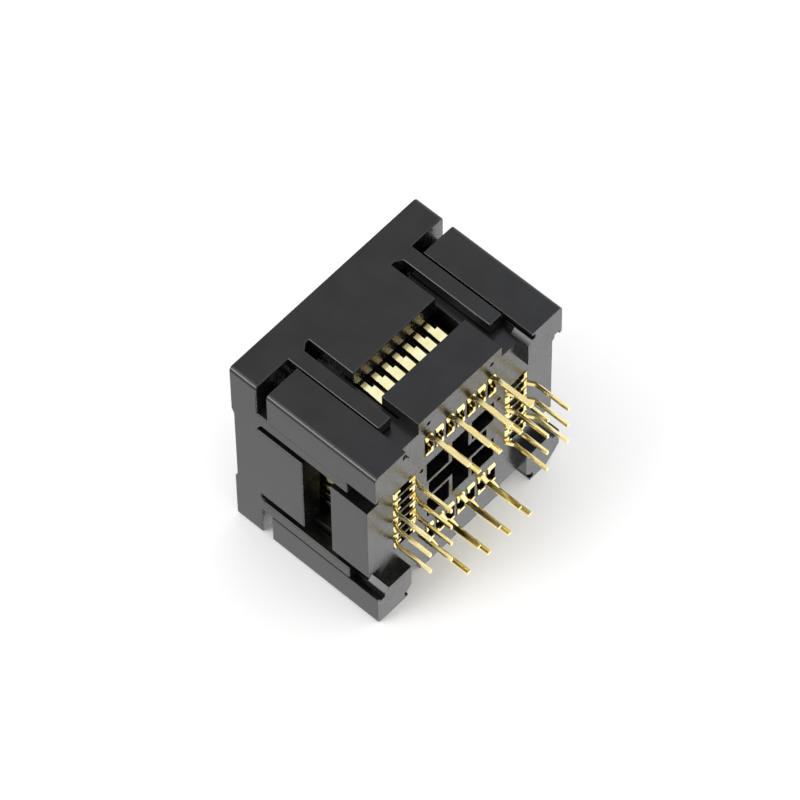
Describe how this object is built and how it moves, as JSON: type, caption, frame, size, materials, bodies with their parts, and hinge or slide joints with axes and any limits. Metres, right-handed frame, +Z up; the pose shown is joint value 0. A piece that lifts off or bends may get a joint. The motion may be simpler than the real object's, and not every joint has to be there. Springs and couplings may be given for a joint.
{
  "type": "chip carrier test socket",
  "caption": "Open-top test socket for a square J-leaded chip carrier: black moulded base and sprung press-down cover, formed gold contacts with solder tails.",
  "frame": {"origin": "middle of the socket, level with the bottom of the corner feet, which is the surface of the circuit board", "axes": "+Z up, out of the board and towards the cover; -Y is the front side and +X the right side; the slanted key corner is at +X +Y"},
  "size_m": [0.0226, 0.0226, 0.0195],
  "materials": {
    "black_plastic": "satin moulded black",
    "contact_gold": "gold plated",
    "spring_steel": "bright drawn wire"
  },
  "bodies": {
    "base": {"base": "black_plastic", "contact_right_1": "contact_gold", "contact_right_2": "contact_gold", "contact_right_3": "contact_gold", "contact_right_4": "contact_gold", "contact_right_5": "contact_gold", "contact_right_6": "contact_gold", "contact_right_7": "contact_gold", "contact_back_1": "contact_gold", "contact_back_2": "contact_gold", "contact_back_3": "contact_gold", "contact_back_4": "contact_gold", "contact_back_5": "contact_gold", "contact_back_6": "contact_gold", "contact_back_7": "contact_gold", "contact_left_1": "contact_gold", "contact_left_2": "contact_gold", "contact_left_3": "contact_gold", "contact_left_4": "contact_gold", "contact_left_5": "contact_gold", "contact_left_6": "contact_gold", "contact_left_7": "contact_gold", "contact_front_1": "contact_gold", "contact_front_2": "contact_gold", "contact_front_3": "contact_gold", "contact_front_4": "contact_gold", "contact_front_5": "contact_gold", "contact_front_6": "contact_gold", "contact_front_7": "contact_gold", "spring_back_right": "spring_steel", "spring_back_left": "spring_steel", "spring_front_left": "spring_steel", "spring_front_right": "spring_steel"},
    "cover": {"cover": "black_plastic"}
  },
  "joints": [
    {"name": "cover_press", "type": "slide", "parent": "base", "child": "cover", "axis": [0, 0, 1], "range_m": [-0.0011, 0], "stiffness_N_per_m": 3000, "springref_m": 0.0015, "deforming": ["spring_back_right", "spring_back_left", "spring_front_left", "spring_front_right"]}
  ]
}
